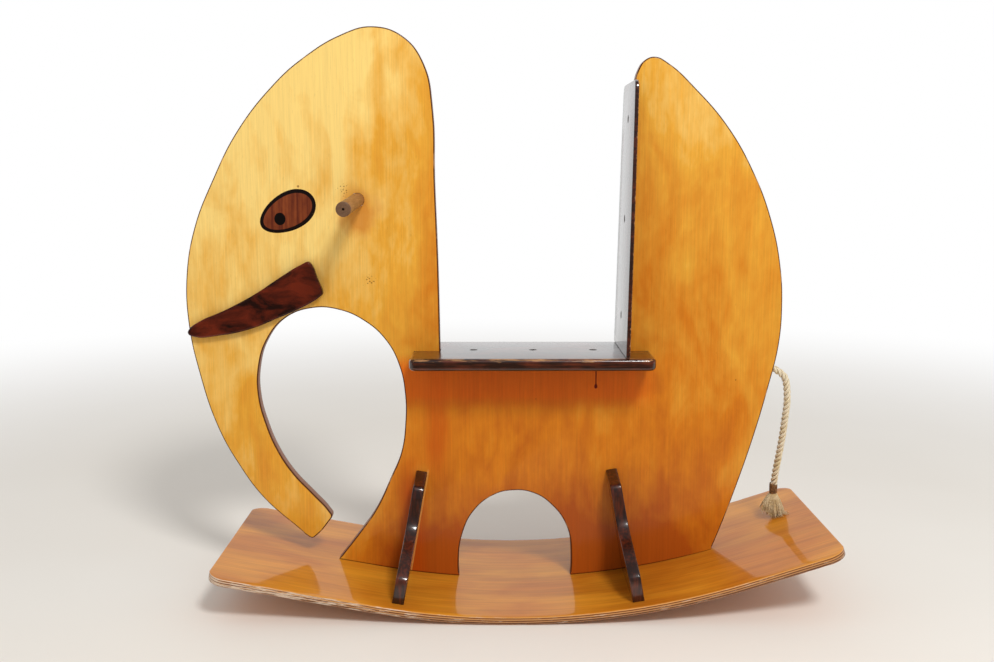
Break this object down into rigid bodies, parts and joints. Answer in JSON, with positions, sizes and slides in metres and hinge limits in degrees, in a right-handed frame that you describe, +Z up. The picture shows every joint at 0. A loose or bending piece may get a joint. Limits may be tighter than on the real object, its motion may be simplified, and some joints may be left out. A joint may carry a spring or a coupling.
{
  "type": "rocking elephant",
  "caption": "Ride-on rocking elephant: a sawn plywood silhouette on a bent rocker base, with seat, backrest, through handle, tusks, braces and a rope tail.",
  "frame": {"origin": "on the floor under the middle of the toy's bounding box, the toy at rest with its seat level", "axes": "+X from the head towards the tail, +Y across the toy towards its far side in the picture, +Z up"},
  "size_m": [0.8408, 0.2754, 0.737],
  "materials": {
    "honey_ply": "aged honey varnish, semi-gloss",
    "amber_ply": "amber varnish, glossy and worn at the edges",
    "dark_board": "dark brown stain, varnished",
    "tusk_wood": "red-brown stain, varnished",
    "dowel": "brown varnish, satin",
    "steel": "darkened",
    "sisal": "laid natural fibre",
    "twine": "waxed, wound tight"
  },
  "bodies": {
    "root": {"backrest": "dark_board", "backrest_screw_1": "steel", "backrest_screw_2": "steel", "backrest_screw_3": "steel", "body_board": "honey_ply", "foot_screw_1": "steel", "foot_screw_2": "steel", "foot_screw_3": "steel", "foot_screw_4": "steel", "front_brace_far": "dark_board", "front_brace_far_screw": "steel", "front_brace_near": "dark_board", "front_brace_near_screw": "steel", "handle_dowel": "dowel", "rear_brace_far": "dark_board", "rear_brace_far_screw": "steel", "rear_brace_near": "dark_board", "rear_brace_near_screw": "steel", "rocker_base": "amber_ply", "seat": "dark_board", "seat_screw_1": "steel", "seat_screw_2": "steel", "seat_screw_3": "steel", "tail_rope": "sisal", "tail_tassel": "sisal", "tail_whipping": "twine", "tusk_far": "tusk_wood", "tusk_near": "tusk_wood"}
  },
  "joints": []
}
